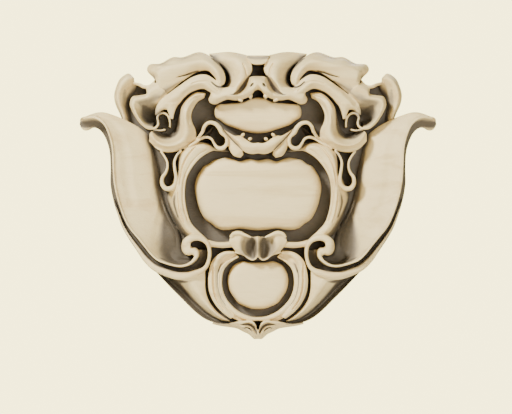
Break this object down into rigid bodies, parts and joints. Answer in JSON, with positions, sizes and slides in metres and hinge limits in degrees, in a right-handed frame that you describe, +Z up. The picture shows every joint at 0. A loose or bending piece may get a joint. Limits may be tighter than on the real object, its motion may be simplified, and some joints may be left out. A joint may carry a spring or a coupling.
{
  "type": "carved cartouche",
  "caption": "Symmetrical carved relief with an oval main tablet, a smaller one below, a mask and scrolled lobes above and sweeping wings at the sides; hangs flat on a wall.",
  "frame": {"origin": "on the flat back face, behind the middle of the main tablet", "axes": "front faces -Y, +Z up, +X to the right as seen from the front; the back lies on the plane Y = 0"},
  "size_m": [0.7154, 0.1073, 0.5749],
  "materials": {
    "limewood": "pale limewood, worn wax, dark patina in the hollows"
  },
  "bodies": {
    "root": {"cartouche": "limewood"}
  },
  "joints": []
}
